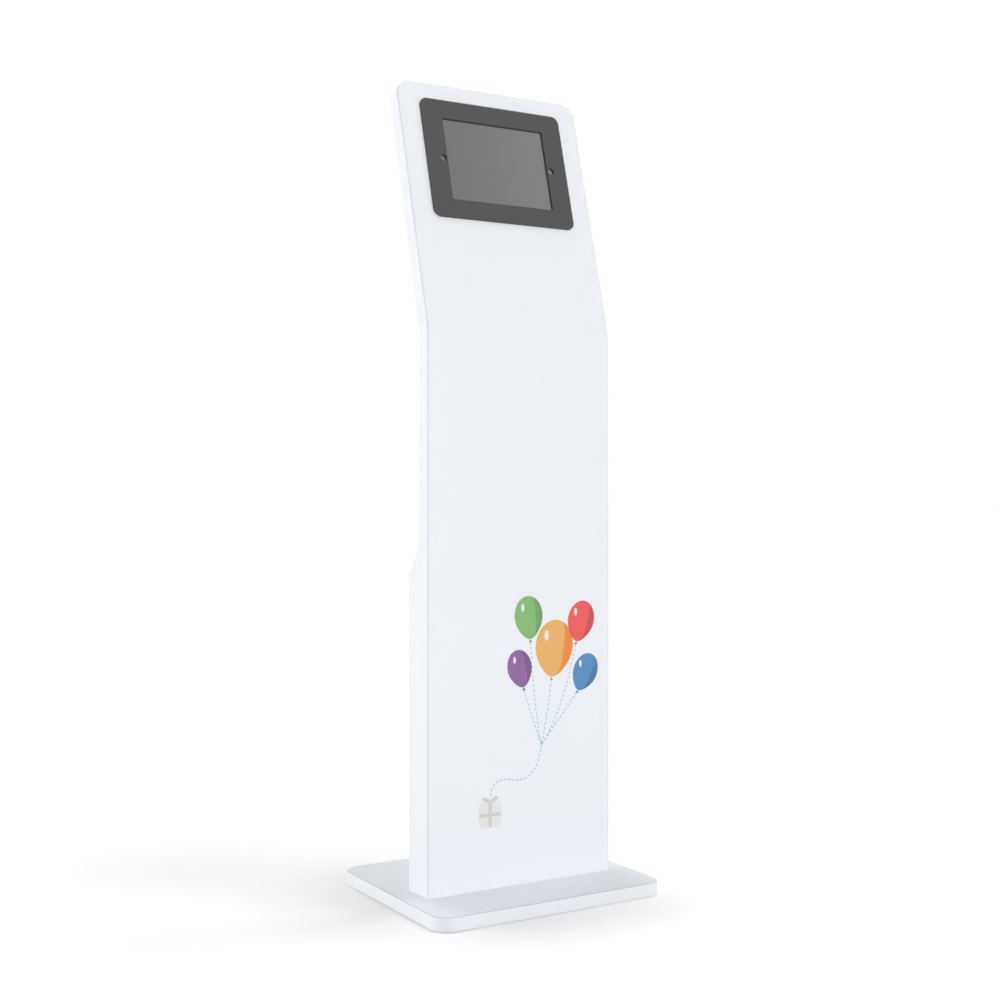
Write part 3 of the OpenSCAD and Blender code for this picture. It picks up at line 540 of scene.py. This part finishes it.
def dashes(curve, dash=0.0050, gap=0.0030, width=0.0015):
    """Short strips along a curve, given as points close together."""
    strips, strip, run = [], [curve[0]], 0.0
    for here, after in zip(curve, curve[1:]):
        run += math.dist(here, after)
        if run % (dash + gap) < dash:
            strip.append(after)
            continue
        if len(strip) > 1:
            (x0, z0), (x1, z1) = strip[0], strip[-1]
            across = 0.5 * width / math.dist(strip[0], strip[-1])
            dx, dz = (z0 - z1) * across, (x1 - x0) * across
            strips.append([(x0 + dx, z0 + dz), (x1 + dx, z1 + dz), (x1 - dx, z1 - dz), (x0 - dx, z0 - dz)])
        strip = []
    return strips


def bowed(start, bow, end, steps=400):
    """Points on the curve that leaves start towards bow and reaches end."""
    shares = [i / steps for i in range(steps + 1)]
    return [
        tuple((1 - t) ** 2 * a + 2 * t * (1 - t) * b + t * t * c for a, b, c in zip(start, bow, end)) for t in shares
    ]


gleam_film = printed_film("film_gleam", film_white)
string_film = printed_film("film_teal", film_teal)
knot_long = 0.0045
knot_half = 0.0035
string_sway = 0.4
string_rise = 0.05
strings = []
for balloon_name, colour, shade, *balloon in (
    ("orange", film_orange, film_amber, (0.066, 0.398), 0.038, 0.045),
    ("red", film_red, shaded(film_red, balloon_shade), (0.121, 0.441), 0.027, 0.033),
    ("green", film_green, shaded(film_green, balloon_shade), (0.014, 0.452), 0.028, 0.034),
    ("blue", film_blue, shaded(film_blue, balloon_shade), (0.130, 0.352), 0.025, 0.031),
    ("purple", film_purple, shaded(film_purple, balloon_shade), (-0.004, 0.366), 0.024, 0.030),
):
    middle, half_w, half_h = balloon
    neck_x, neck_z = balloon_point(middle, half_w, half_h + knot_long, math.pi)
    knot = [balloon_point(*balloon, math.pi), (neck_x - knot_half, neck_z), (neck_x + knot_half, neck_z)]
    lay_film(
        "print_balloon_" + balloon_name,
        [
            (balloon_body(*balloon), 2, 0),
            (knot, 1, 1),
            (balloon_dark_side(*balloon), 3, 1),
            (balloon_gleam(*balloon), 3, 2),
        ],
        printed_film("film_" + balloon_name, colour),
        printed_film("film_" + balloon_name + "_shade", shade),
        gleam_film,
    )
    sway = neck_x * (1.0 - string_sway) + gather[0] * string_sway
    strings += dashes(bowed((neck_x, neck_z), (sway, gather[1] + string_rise), gather))

parcel_middle = (-0.062, 0.124)
parcel_half = 0.021
parcel_round = 0.005
parcel_corner_steps = 8
ribbon_half = 0.003
bow_up = 0.003
bow_knot = (parcel_middle[0], parcel_middle[1] + parcel_half + bow_up)
tail_turn = (-0.020, 0.178)
tail_bows = ((0.030, 0.166), (-0.060, 0.188))


def bow_loop(side, out=0.008, half=0.0075, thick=0.004, rise=0.35, sunk=0.0015, steps=24):
    """One loop of the parcel's bow, which rises as it leaves the knot to one side."""
    loop = []
    for turn in (math.tau * i / steps for i in range(steps)):
        reach = out + half * math.cos(turn)
        loop.append((bow_knot[0] + side * reach, bow_knot[1] + thick * math.sin(turn) + rise * reach - sunk))
    return loop


strings += dashes(bowed(gather, tail_bows[0], tail_turn) + bowed(tail_turn, tail_bows[1], bow_knot))
lay_film("print_strings", [(strip, 1, 0) for strip in strings], string_film)
parcel = [
    (
        parcel_middle[0] + side * (parcel_half - parcel_round) + parcel_round * math.cos(turn),
        parcel_middle[1] + end * (parcel_half - parcel_round) + parcel_round * math.sin(turn),
    )
    for side, end, quarter in ((1, 1, 0), (-1, 1, 1), (-1, -1, 2), (1, -1, 3))
    for turn in (math.radians(90.0 * (quarter + i / parcel_corner_steps)) for i in range(parcel_corner_steps + 1))
]
upright_ribbon, level_ribbon = (
    [(parcel_middle[0] + x * half_w, parcel_middle[1] + z * half_h) for x, z in ((-1, -1), (1, -1), (1, 1), (-1, 1))]
    for half_w, half_h in ((ribbon_half, parcel_half), (parcel_half, ribbon_half))
)
lay_film(
    "print_parcel",
    [(parcel, 1, 0), (upright_ribbon, 2, 1), (level_ribbon, 3, 1), (bow_loop(-1), 2, 1), (bow_loop(1), 3, 1)],
    printed_film("film_grey", film_grey),
    printed_film("film_grey_shade", shaded(film_grey, ribbon_shade)),
)

# Back panel: a bent sheet over the step of the tower's back, in the same white powder.
# Six plated screws hold it to the stop strips of the side walls.
dress(white_powder, "back_panel")
dress(zinc_plate, "back_panel_screws")

# Bezel: a steel frame in matt dark grey powder, proud of the panel, with a window and two round holes.
# Its boss passes through the panel, and four welded studs behind it carry the tablet's clamp.
bezel_grey = (0.066, 0.066, 0.066)
grey_powder = powder_coat("grey_powder", bezel_grey, dimples=1600.0, depth=0.00003, roughness=0.55, gloss=0.25)
dress(grey_powder, "bezel")

# Tablet: a blasted aluminium shell with a sheet of coated low-glare glass, a camera lens and a home button.
# The screen is dark; an even grey glow that rises slowly to one side is a painted reflection of the studio in it.
glass_black = (0.012, 0.012, 0.013)
painted_reflection_low = (0.165, 0.165, 0.165)
painted_reflection_high = (0.200, 0.200, 0.200)
lens_reflection_share = 0.85
smear_tone_drift = 0.2
smear_gloss_drift = 0.06
shell_dark = (0.52, 0.525, 0.53)
shell_light = (0.60, 0.605, 0.61)


def screen_glass(name, low, high, roughness):
    """Coated black glass with a painted reflection, a grey glow that rises from left to right, and faint smears of
    wiping.
    """
    material, tree, shader = new_finish(name)
    shader.inputs["Specular IOR Level"].default_value = 0.15
    shader.inputs["Emission Strength"].default_value = 1.0
    place = shader_node(tree, "TexCoord")
    parts = shader_node(tree, "SeparateXYZ")
    tree.links.new(place.outputs["Object"], parts.inputs["Vector"])
    left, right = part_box("tablet_glass")
    span = shader_node(tree, "MapRange", interpolation_type="SMOOTHSTEP")
    span.inputs["From Min"].default_value = left.x
    span.inputs["From Max"].default_value = right.x
    tree.links.new(parts.outputs["X"], span.inputs["Value"])
    tree.links.new(mixed_colour(tree, span.outputs["Result"], low, high), shader.inputs["Emission Color"])
    smears = shader_node(tree, "TexNoise", noise_dimensions="3D")
    smears.inputs["Scale"].default_value = 28.0
    smears.inputs["Detail"].default_value = 4.0
    tree.links.new(place.outputs["Object"], smears.inputs["Vector"])
    dull, bright = (shaded(glass_black, 1.0 + sign * smear_tone_drift) for sign in (-1, 1))
    tree.links.new(mixed_colour(tree, smears.outputs["Fac"], dull, bright), shader.inputs["Base Color"])
    gloss = mixed_value(tree, smears.outputs["Fac"], roughness, roughness + smear_gloss_drift)
    tree.links.new(gloss, shader.inputs["Roughness"])
    return material


cover_glass = screen_glass("cover_glass", painted_reflection_low, painted_reflection_high, roughness=0.06)
# The home button takes the same painted reflection, which also lights it in its recess.
dress(cover_glass, "tablet_glass", "home_button")
# The lens takes a dimmer share of the painted reflection.
lens_glass = screen_glass(
    "lens_glass", shaded(painted_reflection_low, lens_reflection_share), shaded(painted_reflection_high, lens_reflection_share), roughness=0.03
)
dress(lens_glass, "camera_lens")
blasted_shell = bare_metal(
    "blasted_shell", shell_dark, shell_light, stretch=(900.0, 900.0, 900.0), roughness=0.42, depth=0.00002
)
dress(blasted_shell, "tablet_shell")

# Clamp: a plated sheet with ears on the bezel's studs and fingers round the tablet's edge.
# Spacers set its height, foam pads press on the tablet's back, and nuts hold it.
foam_black = (0.028, 0.028, 0.03)
foam_grey = (0.065, 0.065, 0.068)
black_foam = moulded("black_foam", foam_black, foam_grey, grain_scale=700.0, depth=0.0002, roughness=0.9)
dress(zinc_plate, "clamp_plate", "bezel_studs", "stud_spacers", "stud_nuts")
dress(black_foam, "foam_pads")

# Doors: flat white sheets that close flush with the tower's rear lips, with a row of vent slots in each.
# The cabinet door has a cable notch at its foot, edged with a rubber channel.
dress(white_powder, "head_door", "cabinet_door")
dress(black_rubber, "cable_notch_trim")

# Hinges: plated butt hinges, their leaves welded to the rear lips and the doors, on headed pins.
# There are two on each door.
dress(
    zinc_plate,
    "head_frame_leaves", "head_door_leaves", "head_hinge_pins",
    "cabinet_frame_leaves", "cabinet_door_leaves", "cabinet_hinge_pins",
)

# Locks: chromed cam locks with a flat key slot, each held by a hexagon nut behind its door.
# A quarter turn swings the cam behind a keeper on the tower's stop strip.
chrome_dark = (0.58, 0.585, 0.595)
chrome_light = (0.66, 0.665, 0.67)
lock_chrome = bare_metal(
    "lock_chrome", chrome_dark, chrome_light, stretch=(25.0, 25.0, 25.0), roughness=0.2, depth=0.000004
)
dress(lock_chrome, "head_lock_housing", "head_lock_plug", "cabinet_lock_housing", "cabinet_lock_plug")
dress(
    zinc_plate,
    "head_lock_nut", "head_lock_cam", "head_lock_keeper",
    "cabinet_lock_nut", "cabinet_lock_cam", "cabinet_lock_keeper",
)
